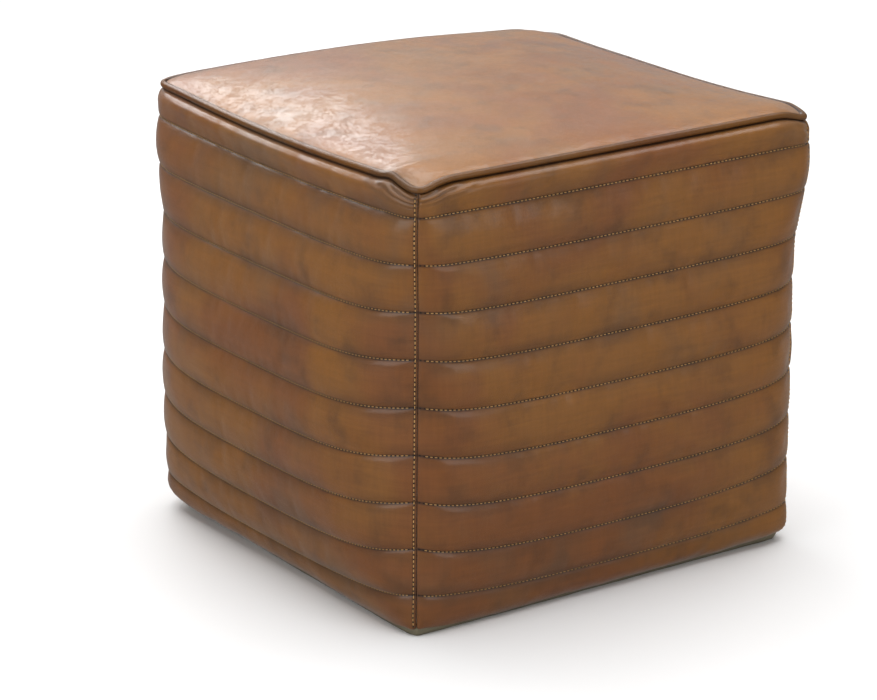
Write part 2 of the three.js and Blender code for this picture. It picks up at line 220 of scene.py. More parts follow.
def sample(grid, row, column):
    """The grid's values at fractional rows and columns."""
    row = np.clip(row, 0, grid.shape[0] - 1.001)
    column = np.clip(column, 0, grid.shape[1] - 1.001)
    i, j = row.astype(int), column.astype(int)
    u, v = (row - i)[..., None], (column - j)[..., None]
    low = grid[i, j] * (1 - v) + grid[i, j + 1] * v
    high = grid[i + 1, j] * (1 - v) + grid[i + 1, j + 1] * v
    return low * (1 - u) + high * u


def turned(points, quarter):
    """Points turned about Z by quarter turns."""
    c, s = ((1, 0), (0, 1), (-1, 0), (0, -1))[quarter % 4]
    x, y, z = points[..., 0], points[..., 1], points[..., 2]
    return np.stack([c * x - s * y, s * x + c * y, z], -1)


def all_round(lines):
    """One closed line from a line along each side."""
    return np.concatenate([turned(line, quarter) for quarter, line in enumerate(lines)])


def wander(x, y, size, seed):
    """Smooth random values from -1 to 1 at the points (x, y), in lumps about size across."""
    lattice = np.random.default_rng(seed).uniform(-1, 1, (97, 97))
    u, v = np.asarray(x) / size + 0.37, np.asarray(y) / size + 0.61
    i, j = np.floor(u).astype(int), np.floor(v).astype(int)
    fade = lambda f: f ** 3 * (f * (6 * f - 15) + 10)
    fu, fv = fade(u - i), fade(v - j)
    value = lambda a, b: lattice[(i + a) % 97, (j + b) % 97]
    low = value(0, 0) * (1 - fu) + value(1, 0) * fu
    return low * (1 - fv) + (value(0, 1) * (1 - fu) + value(1, 1) * fu) * fv


def near(distance, reach):
    """1 at no distance, falling to nearly 0 at twice the reach."""
    return np.exp(-(np.asarray(distance) / reach) ** 2)


# ---- The filled shape ----

def corner_half(up, corner):
    """Half the pouf's width between corner seams, at a corner."""
    shoulder = (SHOULDER + CORNER_OUT[corner]) * near(up - SHOULDER_UP, SHOULDER_SPREAD)
    foot = FOOT + CORNER_FOOT[corner]
    drop = np.clip(foot - up, 0, foot)
    return CORNER_HALF + shoulder - (foot - np.sqrt(foot ** 2 - drop ** 2))


def side_bulge(up, side):
    """How far the middle of a side stands out from its corners."""
    reach = np.where(up > WIDEST, BULGE_ABOVE, BULGE_BELOW)
    return np.maximum(LEAST_BULGE[side], BULGE[side] * np.cos(np.pi / 2 * (up - WIDEST) / reach))


def edge_rise(t, side):
    """How far the top edge of a side lies above its height at rest: close by its corners, and in all."""
    quarter = SIDES.index(side)
    left, right = CORNER_DIP[quarter - 1], CORNER_DIP[quarter]
    gap_left, gap_right = (1 + t) * CORNER_HALF, (1 - t) * CORNER_HALF
    dips = left * near(gap_left, DIP_REACH) + right * near(gap_right, DIP_REACH)
    if side == "front":
        dips = dips - PUCKER_DEPTH * near(gap_right - PUCKER_FROM_CORNER, PUCKER_REACH)
    sinks = (CORNER_SINK[quarter - 1] * near(gap_left, SINK_REACH)
             + CORNER_SINK[quarter] * near(gap_right, SINK_REACH))
    return -dips, -sinks - EDGE_SAG[side] * (1 - t ** 2)


def leaning(t, up, quarter):
    """(along, out) shifts of a side's points where its top corners lean."""
    weight = np.clip(up / PIPING_UP, 0, 1) ** LEAN_POWER
    left, right = weight * near((1 + t) / 2, LEAN_REACH), weight * near((1 - t) / 2, LEAN_REACH)
    own_left, own_right = CORNER_LEAN[quarter - 1], CORNER_LEAN[quarter]
    along = own_right[1] * right - own_left[0] * left
    return along, own_right[0] * right + own_left[1] * left


def seam_surface(side, t, up):
    """Points of the surface that a side's seams lie in. t runs from -1 to 1 between the corners."""
    quarter = SIDES.index(side)
    share = (1 + t) / 2
    half = corner_half(up, quarter - 1) * (1 - share) + corner_half(up, quarter) * share
    bulge = side_bulge(up, side)
    top = np.clip((up - EDGE_FROM) / (PIPING_UP - EDGE_FROM), 0, 1) ** 2
    out = half + bulge * (1 - np.abs(t) ** (half / bulge)) + top * (EDGE_BOW[side] * (1 - t ** 2))
    settled = SETTLING * (1 - up / PIPING_UP) * np.minimum(1, up / SETTLED_UP) * (1 - np.abs(t) ** 3)
    lean_along, lean_out = leaning(t, up, quarter)
    dips, broad = edge_rise(t, side)
    rise = top * broad + near(PIPING_UP - up, DIP_DEEP) * dips
    return np.stack([half * t + lean_along, -out - lean_out, up - settled + rise], -1)


def spaced(side, count, ends=()):
    """count + 1 places along a side's seams, as t and in millimetres, at the given distances from each corner
    and evenly spaced between those."""
    t = np.linspace(-1, 1, 4001)
    length = travelled(seam_surface(side, t, np.full_like(t, MIDDLE_UP)))
    total = length[-1]
    first = np.array([0, *ends])
    middle = np.linspace(first[-1], total - first[-1], count - 2 * len(ends) + 1)
    along = np.concatenate([first[:-1], middle, total - first[-2::-1]])
    return np.interp(along, length, t), along


# ---- Cloth simulation of the padded leather ----

CLOTH_ROWS = 6
CLOTH_COLUMNS = 66
CLOTH_TOP = 56
CLOTH_FRAMES = 22
CLOTH_SETTINGS = {"quality": 7, "mass": 0.25, "vertex_group_mass": "held", "tension_stiffness": 30,
                  "compression_stiffness": 30, "shear_stiffness": 12, "tension_damping": 12,
                  "compression_damping": 12, "shear_damping": 12, "air_damping": 6, "use_pressure": True}
SIDE_CLOTH = {"bending_stiffness": 0.6, "shrink_min": -0.0035, "uniform_pressure_force": 42}
SEAT_CLOTH = {"bending_stiffness": 6.0, "shrink_min": 0.0, "uniform_pressure_force": 0.05}
PLEATS_KEPT = 0.6


def cloth_piece(name, grids, pinned, own_settings):
    """A sheet of leather held where pinned is true, slightly larger than its place and pushed from behind."""
    points = np.concatenate([grid.reshape(-1, 3) for grid in grids]) * MM
    faces, start = [], 0
    for grid in grids:
        rows, columns = grid.shape[:2]
        faces.append(grid_quads(rows, columns, start))
        start += rows * columns
    mesh = bpy.data.meshes.new(name)
    mesh.from_pydata(points.tolist(), [], np.concatenate(faces).tolist())
    cloth = placed(name, mesh)
    held = np.concatenate([mask.ravel() for mask in pinned])
    cloth.vertex_groups.new(name="held").add(np.flatnonzero(held).tolist(), 1.0, "REPLACE")
    modifier = cloth.modifiers.new("cloth", "CLOTH")
    for key, value in {**CLOTH_SETTINGS, **own_settings}.items():
        setattr(modifier.settings, key, value)
    modifier.settings.effector_weights.gravity = 0
    modifier.collision_settings.use_collision = False
    modifier.point_cache.frame_start, modifier.point_cache.frame_end = 1, CLOTH_FRAMES
    return cloth


def simulated(cloths):
    """How far, in millimetres, each point of each cloth has moved when it has come to rest."""
    scene = bpy.context.scene
    scene.frame_start, scene.frame_end = 1, CLOTH_FRAMES
    for step in range(1, CLOTH_FRAMES + 1):
        scene.frame_set(step)
    graph = bpy.context.evaluated_depsgraph_get()
    moved = []
    for cloth in cloths:
        count = len(cloth.data.vertices)
        rest, now = np.empty(count * 3, np.float32), np.empty(count * 3, np.float32)
        cloth.data.vertices.foreach_get("co", rest)
        cloth.evaluated_get(graph).data.vertices.foreach_get("co", now)
        moved.append((now - rest).reshape(-1, 3) / MM)
    for cloth in cloths:
        bpy.data.objects.remove(cloth, do_unlink=True)
    scene.frame_set(1)
    return moved


def cloth_shapes():
    """The simulated swelling of each side and of the seat, as grids of shifts."""
    grids, pinned = [], []
    up, _, _ = channel_rows([CLOTH_ROWS] * (SEAMS + 1))
    for side in SIDES:
        t, rows = np.meshgrid(spaced(side, CLOTH_COLUMNS)[0], up)
        grids.append(seam_surface(side, t, rows))
        held = np.zeros(t.shape, bool)
        held[::CLOTH_ROWS] = True
        held[:, 0] = held[:, -1] = True
        pinned.append(held)
    seat = top_surface(CLOTH_TOP, SEAT_INSET)[0]
    edge = np.ones(seat.shape[:2], bool)
    edge[1:-1, 1:-1] = False
    sides = cloth_piece("side_cloth", grids, pinned, SIDE_CLOTH)
    top = cloth_piece("seat_cloth", [seat], [edge], SEAT_CLOTH)
    moved = simulated([sides, top])
    shape = grids[0].shape
    parts = [softened(part.reshape(shape)) for part in np.split(moved[0], 4)]
    return parts + [evened(moved[1].reshape(seat.shape), 3)]


def softened(values):
    """A side's shifts with the pleats along its seams made fainter."""
    beside = (np.roll(values, 1, 1) + np.roll(values, -1, 1)) / 2
    beside[:, 0], beside[:, -1] = values[:, 0], values[:, -1]
    return values * PLEATS_KEPT + beside * (1 - PLEATS_KEPT)


def evened(values, times):
    """A grid of values with its smallest unevenness taken out."""
    for _ in range(times):
        wide = np.pad(values, ((1, 1), (1, 1), (0, 0)), mode="edge")
        values = (wide[1:-1, 1:-1] * 4 + wide[:-2, 1:-1] + wide[2:, 1:-1]
                  + wide[1:-1, :-2] + wide[1:-1, 2:]) / 8
    return values


def between(values, place, axis):
    """values at fractional places along an axis, on smooth curves through them."""
    values = np.moveaxis(values, axis, 0)
    whole = np.clip(np.floor(place).astype(int), 0, len(values) - 2)
    f = (place - whole).reshape(-1, *[1] * (values.ndim - 1))
    at = lambda shift: values[np.clip(whole + shift, 0, len(values) - 1)]
    a, b, c, d = at(-1), at(0), at(1), at(2)
    curve = b + 0.5 * f * (c - a + f * (2 * a - 5 * b + 4 * c - d + f * (3 * (b - c) + d - a)))
    return np.moveaxis(curve, 0, axis)


def rows_between(values):
    """A side's simulated shifts at all its rows, keeping each seam's crease."""
    parts = []
    for channel, rows in enumerate(CHANNEL_ROWS):
        block = values[channel * CLOTH_ROWS:(channel + 1) * CLOTH_ROWS + 1]
        block = np.concatenate([block[1:2], block, block[-2:-1]])
        parts.append(between(block, 1 + CLOTH_ROWS * np.arange(rows) / rows, 0))
    return np.concatenate([*parts, values[-1:]])


# ---- Side panels ----

CHANNEL_EDGES = [HEM, *(LOWEST_SEAM + SEAM_PITCH * k for k in range(SEAMS)), PANEL_TOP]


def channel_rows(counts):
    """Each row's height, its place from 0 to 1 in its channel and its gap to a seam, from the rows in each
    channel, lowest first."""
    up, place = [], []
    for low, high, rows in zip(CHANNEL_EDGES[:-1], CHANNEL_EDGES[1:], counts):
        share = (1 - np.cos(np.pi * np.arange(rows) / rows)) / 2
        up.extend(low + (high - low) * share)
        place.extend(share)
    up, place = np.array([*up, PANEL_TOP]), np.array([*place, 1.0])
    seams = np.array(CHANNEL_EDGES[1:-1])
    nearest = seams[np.abs(up[:, None] - seams).argmin(1)]
    return up, place, np.abs(up - nearest)


def pillow(place):
    """The cross section of a filled channel, a little fuller in its lower half."""
    return 4 * place * (1 - place) * (1 + 0.25 * (0.5 - place))


def fold_ring(side, along_left, along_right, up):
    """Distance, in flattened rings, from a top corner that has creases round it. It is large elsewhere."""
    below = PIPING_UP + 2 - up
    if side == "front":
        return np.hypot(along_right / 3.4, below) + 0.7 * wander(along_right, below, 9, 30)
    if side == "right":
        return 3 + np.hypot(along_left / 3.8, below) + 0.7 * wander(along_left, below, 9, 32)
    return np.full_like(up, FAR)


def folds(ring):
    """How deep the creases round a corner are, from 0 on their crests to 1 in their valleys."""
    rise, fall = np.clip((ring - 3) / 4, 0, 1), np.clip((24 - ring) / 10, 0, 1)
    return np.sin(ring * np.pi / FOLD_PITCH) ** 2 * rise * fall


def crumpling(side, along_right, up):
    """The crumpled leather at the right-hand top corner."""
    if side != "right":
        return 0
    below = PIPING_UP + 3 - up
    crumple = wander(along_right + below, below - 0.5 * along_right, 11, 31)
    return 1.5 * crumple * near(along_right, 34) * near(below - 22, 28)


def side_relief(side, length, t, up, gap):
    """How far the leather's creases and rolled edges stand out, besides its channels."""
    along_left, along_right = (1 + t) / 2 * length, (1 - t) / 2 * length
    end = np.minimum(along_left, along_right)
    seed = 11 * SIDES.index(side)
    seam = near(gap, 1.4)
    away = 1 - near(gap, 6)
    relief = 0.8 * away * wander(along_left, up, 55, seed + 1)
    relief += 0.35 * away * wander(along_left, up, 23, seed + 2)
    relief += 0.22 * near(gap, 9) * (1 - near(gap, 1.5)) * wander(along_left, up / 2, 11, seed + 3)
    relief += 0.2 * near(PIPING_UP - up - 9, 8) * wander(along_left, up / 4, 13, seed + 4)
    relief += 0.25 * near(end, 9) * (1 - near(end, 2)) * wander(along_left / 4, up, 4.5, seed + 5)
    relief -= 0.9 * seam
    relief += crumpling(side, along_right, up)
    relief -= FOLD_DEPTH * folds(fold_ring(side, along_left, along_right, up))
    below = PANEL_TOP - up
    relief += TOP_ROLL * near(below - 8, 8.5) * (1 - near(below, 2.5)) * (1 - 0.7 * near(end, 30))
    relief -= 1.4 * near(below, 1.8)
    relief *= 1 - near(end, 1.2)
    return relief - 0.7 * near(end, 0.9)


def outward(grid):
    """Normals of a side's grid, turned to the corner's own diagonal at its two ends."""
    found = normals(grid)
    for column, way in ((0, -1), (-1, 1)):
        found[:, column] = np.array([way, -1, 0]) / math.sqrt(2)
    return found


def side_grid(side, puff=None):
    """The outer grid of a side panel and what is measured on it, from its simulated cloth if there is one."""
    line_t, line_along = spaced(side, COLUMNS, CORNER_COLUMNS)
    up, place, gap = channel_rows(CHANNEL_ROWS)
    t, up = np.meshgrid(line_t * (1 - 0.0006), up)
    place, gap = (np.repeat(values[:, None], t.shape[1], 1) for values in (place, gap))
    length = line_along[-1]
    base = seam_surface(side, t, up)
    base[..., 2] += hem_rise(side, line_along, length) * np.clip(1 - up / LOWEST_SEAM, 0, 1)
    out = outward(base)
    end = np.minimum(1 + t, 1 - t) / 2 * length
    swell = CHANNEL_SWELL if puff is None else FILLING_SWELL
    swollen = out * (swell * pillow(place) * (1 - 0.55 * near(end, 16)))[..., None]
    if puff is not None:
        swollen += between(rows_between(puff), line_along / length * CLOTH_COLUMNS, 1)
    grid = base + swollen + out * side_relief(side, length, t, up, gap)[..., None]
    return {"side": side, "grid": grid, "normals": normals(grid), "line": line_along, "gap": gap,
            "length": length, "up": up}


def hem_rise(side, along, length):
    """How far the leather's lower edge is drawn up from the floor."""
    quarter = SIDES.index(side)
    rise = 0.7 * (1 + wander(along, 0 * along, 38, 200 + quarter))
    end = np.minimum(along, length - along)
    return rise + 3.4 * near(end, 26) * (1 + 0.3 * wander(along, 0 * along, 9, 210 + quarter))


def corner_line(facts):
    """Rows, and lengths along them, of the line that the corner topstitching follows."""
    grid = facts["grid"]
    column = np.interp(facts["length"] - CORNER_STITCH_IN, facts["line"], np.arange(COLUMNS + 1))
    rows = np.linspace(0, grid.shape[0] - 1, 3000)
    return column, rows, travelled(sample(grid, rows, np.full_like(rows, column)))


def side_panel(facts):
    """A side's leather, with the measures that its material reads."""
    grid, side, gap = facts["grid"], facts["side"], facts["gap"]
    coarse = grid[::INNER_STEP, ::INNER_STEP]
    inner = coarse - LEATHER * normals(coarse)
    points, faces = shell(grid, inner, INNER_STEP)
    along = np.broadcast_to(facts["line"], gap.shape)
    along_right = facts["length"] - along
    _, rows, length = corner_line(facts)
    corner_up = np.broadcast_to(np.interp(np.arange(len(gap)), rows, length)[:, None], gap.shape)
    spread = lambda values, fill: np.concatenate([values.ravel(), np.full(inner[..., 0].size, fill)])
    piece = mesh_object(
        f"leather_side_{side}", turned(points, SIDES.index(side)), faces,
        row_along=spread(along, 0), row_gap=spread(gap, 20),
        corner_gap=spread(along_right - CORNER_STITCH_IN, FAR), corner_up=spread(corner_up, 0),
        fold_depth=spread(folds(fold_ring(side, along, along_right, facts["up"])), 0),
        end_gap=spread(np.minimum(along, along_right), FAR), height=spread(facts["up"], 200))
    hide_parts(f"side_panel_{side}")
    return piece


# ---- Layers inside the cover ----

# How deep each layer's two faces lie behind the seams
WADDING_DEPTHS = (3.2, 4.4)
LINING_DEPTHS = (5.2, 6.0)
LAYER_FOOT = HEM + 9


def side_layer(side, outer_gap, inner_gap, follow, rows):
    """A closed layer behind a side's leather, between two depths, whose face follows the channels' swell."""
    t = spaced(side, 40)[0] * 0.999
    up = np.linspace(LAYER_FOOT, PANEL_TOP - 2, rows + 1)
    edges = np.array(CHANNEL_EDGES)
    channel = np.clip(np.searchsorted(edges, up, "right") - 1, 0, SEAMS)
    place = (up - edges[channel]) / (edges[channel + 1] - edges[channel])
    t, up = np.meshgrid(t, up)
    base = seam_surface(side, t, up)
    out = outward(base)
    swell = follow * CHANNEL_SWELL * pillow(place)[:, None] * (1 - 0.6 * np.abs(t) ** 8)
    points, faces = shell(base + out * (swell - outer_gap)[..., None], base - out * inner_gap)
    return turned(points, SIDES.index(side)), faces


def side_layers(side):
    """The wadding behind a side's leather, and the lining behind that."""
    wadding = mesh_object(f"quilt_wadding_{side}", *side_layer(side, *WADDING_DEPTHS, 0.8, 80))
    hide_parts(f"side_wadding_{side}")
    lining = mesh_object(f"cotton_lining_{side}", *side_layer(side, *LINING_DEPTHS, 0, 20))
    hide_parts(f"side_lining_{side}")
    return wadding, lining


def ring(up, inset, shrink=1.0):
    """A closed line round the pouf's plan at a height, inset from its seams."""
    t = spaced("front", 40)[0][:-1]
    narrow = 1 - inset / CORNER_HALF
    lines = [seam_surface(side, t, np.full_like(t, float(up))) * [narrow, narrow, 1] for side in SIDES]
    return all_round(lines) * [shrink, shrink, 1]


def loft(rings):
    """Points and faces of a closed body through rings of points, from the lowest to the highest."""
    grid = np.array(rings)
    return grid.reshape(-1, 3), tubes(*grid.shape[:2])


def stuffed_body(name, node, inset, low, high):
    """A stuffed body with a rounded top between two heights, inset from the seams."""
    levels = np.linspace(low, high - 16, 26)
    rings = [ring(low, inset, 0.94), ring(low, inset, 0.985), *(ring(up, inset) for up in levels + 3)]
    for shrink, lift in ((0.985, 6), (0.95, 11), (0.86, 14), (0.6, 15.5), (0.3, 16)):
        rings.append(ring(high - 13 + 0.2 * lift, inset, shrink) + [0, 0, 0.4 * lift])
    points, faces = loft(rings)
    x, y, z = points.T
    points[:, 2] += 1.2 * wander(x + 400, y + 400, 60, 301) * near(z - high, 60)
    piece = mesh_object(name, points, faces)
    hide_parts(node)
    return piece


# ---- Stitches ----

BEAD_STATIONS, BEAD_SIDES = 5, 6
THREAD_RADIUS, THREAD_DIP = 0.42, 0.4
ZIP_THREAD_RADIUS, ZIP_THREAD_DIP = 0.35, 0.25


def beads(path, out, radius, dip):
    """Points of one thread bead between each two neighbouring points of path, with its ends dipping in."""
    stations = np.linspace(0, 1, BEAD_STATIONS)
    arch = np.sin(np.pi * stations)
    a, b = path[:-1], path[1:]
    way = unit(b - a)
    lift = (out[:-1] + out[1:]) / 2
    lift = unit(lift - way * (lift * way).sum(1, keepdims=True))
    side = np.cross(way, lift)
    centre = a[:, None] + (b - a)[:, None] * (0.06 + 0.88 * stations)[None, :, None]
    centre = centre + lift[:, None] * (1.6 * arch * dip - dip)[None, :, None]
    angle = np.arange(BEAD_SIDES) * 2 * np.pi / BEAD_SIDES
    wide = radius * (0.45 + 0.55 * arch)
    ring = (side[:, None, None] * np.cos(angle)[None, None, :, None]
            + lift[:, None, None] * np.sin(angle)[None, None, :, None])
    return (centre[:, :, None] + ring * wide[None, :, None, None]).reshape(-1, 3)


def bead_faces(points):
    """The faces of all the beads that these are the points of."""
    return tubes(BEAD_STATIONS, BEAD_SIDES, len(points) // (BEAD_STATIONS * BEAD_SIDES), inside_out=True)


def seam_beads(facts, row, column):
    """Beads along places on a side's grid."""
    path, out = sample(facts["grid"], row, column), sample(facts["normals"], row, column)
    return turned(beads(path, out, THREAD_RADIUS, THREAD_DIP), SIDES.index(facts["side"]))


def seam_stitching(facts):
    """The nine rows of channel stitching of a side."""
    side = facts["side"]
    count = int((facts["length"] - 2 * ROW_END) / STITCH_PITCH)
    along = ROW_END + np.arange(count + 1) * STITCH_PITCH
    column = np.interp(along, facts["line"], np.arange(COLUMNS + 1))
    points = np.concatenate([seam_beads(facts, np.full_like(column, seam * ROWS), column)
                             for seam in range(1, SEAMS + 1)])
    piece = mesh_object(f"channel_stitching_{side}", points, bead_faces(points))
    return piece


def corner_stitching(facts):
    """The topstitching beside a side's right-hand corner seam."""
    side = facts["side"]
    column, rows, length = corner_line(facts)
    stops = np.arange(CORNER_STITCH_PITCH, length[-1] - 4, CORNER_STITCH_PITCH)
    row = np.interp(stops, length, rows)
    points = seam_beads(facts, row, np.full_like(row, column))
    piece = mesh_object(f"corner_topstitching_{side}", points, bead_faces(points))
    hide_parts(f"corner_stitching_{side}")
    return piece


# ---- Piping ----

PIPING_IN = 0.6
PIPING_SLIT = math.radians(22)
TAIL, TAIL_LIFT = 9, 1.2
CORD_RADIUS = 1.7
CORD_LAY = 0.35
CORD_SIDES = 8


def piping_line():
    """The middle line of the piping, all round."""
    t = spaced("front", 180)[0][:-1]
    return all_round([seam_surface(side, t, np.full_like(t, PIPING_UP)) + [0, PIPING_IN, 0] for side in SIDES])


def piping():
    """The leather strip rolled over its cord, and its two flat tails inside."""
    line = piping_line()
    out, up = loop_ways(line)
    count = np.arange(len(line))
    radius = PIPING_RADIUS * (1 + 0.04 * wander(count * 2.3, 0 * count, 9, 71))
    angle = np.linspace(-math.pi + PIPING_SLIT, math.pi - PIPING_SLIT, 15)
    roll = radius[:, None, None] * (out[:, None] * np.cos(angle)[None, :, None]
                                    + up[:, None] * np.sin(angle)[None, :, None])
    tail = lambda lift: (-TAIL * out + lift * up)[:, None]
    section = np.concatenate([tail(-TAIL_LIFT), roll, tail(TAIL_LIFT)], 1)
    grid = (line[:, None] + section).transpose(1, 0, 2)
    round_it = np.repeat(np.array([-3, *angle, 3])[:, None], len(line), 1)
    faces = grid_quads(*grid.shape[:2], wrap=True, ring=True)
    piece = mesh_object("piping_roll", grid, [faces], round_it=round_it)
    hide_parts("piping_wrap")
    return piece


# ---- Top ----

TOP_CELLS = 220
SEAT_INSET = 2.2
SEAT_CROWN = 10.5


def top_surface(cells, inset, drop=0):
    """A grid of the seat's surface inside the piping, and each point's gap to the seat's edge."""
    line = np.linspace(-1, 1, cells + 1)
    line = np.sign(line) * (1 - (1 - np.abs(line)) ** 1.3)
    x, y = np.meshgrid(line, line)
    out, rise = {}, {}
    for side, t in zip(SIDES, (x, y, -x, -y)):
        edge = seam_surface(side, t, np.full_like(t, PIPING_UP))
        out[side], rise[side] = -edge[..., 1] - inset, edge[..., 2] - PIPING_UP
    px = np.where(x > 0, out["right"], out["left"]) * x
    py = np.where(y > 0, out["back"], out["front"]) * y
    gap_x, gap_y = (1 - np.abs(x)) * PIPING_HALF, (1 - np.abs(y)) * PIPING_HALF
    gap = np.minimum(gap_x, gap_y)
    steep = lambda away: 1 - np.exp(-away / 8)
    crown = 5.0 * steep(gap_x) * steep(gap_y) + SEAT_CROWN * (1 - x ** 2) * (1 - y ** 2)
    share = (gap_x + 1) ** 2 / ((gap_x + 1) ** 2 + (gap_y + 1) ** 2)
    follow = share * np.where(y > 0, rise["back"], rise["front"])
    follow = (follow + (1 - share) * np.where(x > 0, rise["right"], rise["left"])) * near(gap, 60)
    inside = 1 - near(gap, 9)
    lumps = 0.5 * wander(px + 300, py + 300, 90, 91) + 0.12 * wander(px + 300, py + 300, 26, 92)
    ripple = 0.1 * wander(px + 300, py + 300, 14, 93) * near(gap - 14, 12)
    z = PIPING_UP + 1.5 - drop + crown + follow + inside * (lumps + ripple)
    return np.stack([px, py, z], -1), gap


def top_panel(puff):
    """The seat's leather, puffed up behind the piping."""
    grid, gap = top_surface(TOP_CELLS, SEAT_INSET)
    if puff is not None:
        place = np.linspace(0, CLOTH_TOP, TOP_CELLS + 1)
        grid = grid + between(between(puff, place, 0), place, 1)
    coarse = grid[::INNER_STEP, ::INNER_STEP]
    inner = coarse - [0, 0, LEATHER]
    points, faces = shell(grid, inner, INNER_STEP)
    edge_gap = np.concatenate([gap.ravel(), np.full(inner[..., 0].size, FAR)])
    piece = mesh_object("leather_top", points, faces, edge_gap=edge_gap)
    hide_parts("top_panel")
    return piece


def top_layers():
    """The wadding under the seat's leather, and the lining under that."""
    reach = PIPING_RADIUS + 9
    face = top_surface(60, reach, WADDING_DEPTHS[0])[0]
    thin = np.clip((PIPING_HALF - np.abs(face[..., :2]).max(-1)) / 40, 0.25, 1)
    back = face - 6 * thin[..., None] * [0, 0, 1]
    wadding = mesh_object("seat_wadding", *shell(face, back))
    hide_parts("top_wadding")
    lining = mesh_object("seat_lining", *shell(back - [0, 0, 0.4], back - [0, 0, 1.2]))
    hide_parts("top_lining")
    return wadding, lining


def piping_cord():
    """The cotton cord inside the piping, with its lay of twisted strands."""
    line = piping_line()
    out, up = loop_ways(line)
    angle = np.arange(CORD_SIDES)[:, None] * 2 * np.pi / CORD_SIDES
    strands = np.sin(3 * angle + CORD_LAY * np.arange(len(line))[None] * 2 * np.pi)
    wide = CORD_RADIUS * (1 + 0.08 * strands)
    grid = line[None] + wide[..., None] * (np.cos(angle)[..., None] * out + np.sin(angle)[..., None] * up)
    return mesh_object("twisted_piping_cord", grid, [grid_quads(*grid.shape[:2], wrap=True, ring=True)])


# ---- Base ----

ZIP_CHANNEL_HALF = 40
ZIP_FLOOR_HALF = 15
ZIP_LIFT = 5
ZIP_END = 171.5
ZIP_CLOSING = 4
SLOT = BASE_LOW[1]
BASE_TUCK = 2.5
CANVAS_THICK = 0.9

# Heights of the canvas seam allowance and how far inside the leather it lies there
HEM_PROFILE = ((0.25, -3.0), (0.3, -1.6), (2.6, -0.8), (6.5, -0.9), (9.5, -2.4))

TOOTH_PITCH, TOOTH_THICK = 2.6, 1.25


def base_half(half):
    """One half of the canvas base, folded under beside the zip. It is made as the front one and turned."""
    reach = BASE_HIGH[0]
    x = np.linspace(-reach, reach, 121)
    y_flat, y_folded = np.linspace(-reach, -ZIP_CHANNEL_HALF, 50), np.linspace(-ZIP_CHANNEL_HALF, -SLOT, 18)
    x, y = np.meshgrid(x, np.concatenate([y_flat[:-1], y_folded]))
    rim = np.clip((np.maximum(np.abs(x), np.abs(y)) - reach + 14) / 14, 0, 1)
    lift = np.clip((ZIP_CHANNEL_HALF - np.abs(y)) / (ZIP_CHANNEL_HALF - ZIP_FLOOR_HALF), 0, 1)
    slack = 0.35 * (1 + wander(x + 400, y + 400, 45, 401 + half))
    lowest = np.maximum(4 * rim ** 3, ZIP_LIFT * (1 - np.cos(np.pi * lift)) / 2)
    hem = 0.5 * near(np.abs(y) - 8.5, 2)
    z = lowest + slack * (1 - rim) * (1 - lift) + 0.15 - hem * lift
    u, v = x / reach, y / reach
    order = SIDES[2 * half:] + SIDES[:2 * half]
    edges = [-seam_surface(side, t, np.full_like(t, HEM + 1))[..., 1] - BASE_TUCK
             for side, t in zip(order, (u, v, -u, -v))]
    x = x + (np.where(u > 0, edges[1], edges[3]) - reach) * np.abs(u) ** 3 * np.sign(u)
    y = y - (edges[0] - reach) * np.abs(v) ** 3
    past_zip = np.clip((np.abs(x) - ZIP_END) / ZIP_CLOSING, 0, 1)
    y = y + past_zip * (SLOT - 0.3) * near(np.abs(y) - SLOT, 9)
    lower = np.stack([x, y, z], -1)
    points, faces = shell(lower + [0, 0, CANVAS_THICK], lower)
    name = ("front", "rear")[half]
    piece = mesh_object(f"canvas_base_{name}", turned(points, 2 * half), faces)
    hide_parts(f"base_panel_{name}")
    return piece


def canvas_hem():
    """The canvas seam allowance that shows below the leather's lower edge."""
    t = spaced("front", 160)[0][:-1]
    rows = []
    for up, out in HEM_PROFILE:
        lines = []
        for quarter, side in enumerate(SIDES):
            line = seam_surface(side, t, np.full_like(t, HEM + up / 3))
            wave = wander((t + 1) * 210, up + 0 * t, 17, 410 + quarter)
            line[:, 1] -= out + 0.5 * wave
            line[:, 2] = up + 0.25 * (1 + wave) * (up > 1)
            lines.append(line)
        rows.append(all_round(lines))
    face = np.array(rows)
    grid = np.concatenate([face, face[::-1] * [0.994, 0.994, 1]])
    piece = mesh_object("canvas_hem", grid, [grid_quads(*grid.shape[:2], wrap=True, ring=True)])
    return piece


def bag_lid():
    """The cotton lid that closes the inner bag from below."""
    low, high = node_box("inner_bag_lid")
    line = np.linspace(low[0], high[0], 61)
    x, y = np.meshgrid(line, line)
    sag = 0.5 * wander(x + 400, y + 400, 50, 420)
    face = np.stack([x, y, high[2] + sag + 0.6], -1)
    piece = mesh_object("inner_bag_lid_cloth", *shell(face, face - [0, 0, 0.7]))
    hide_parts("inner_bag_lid")
    return piece


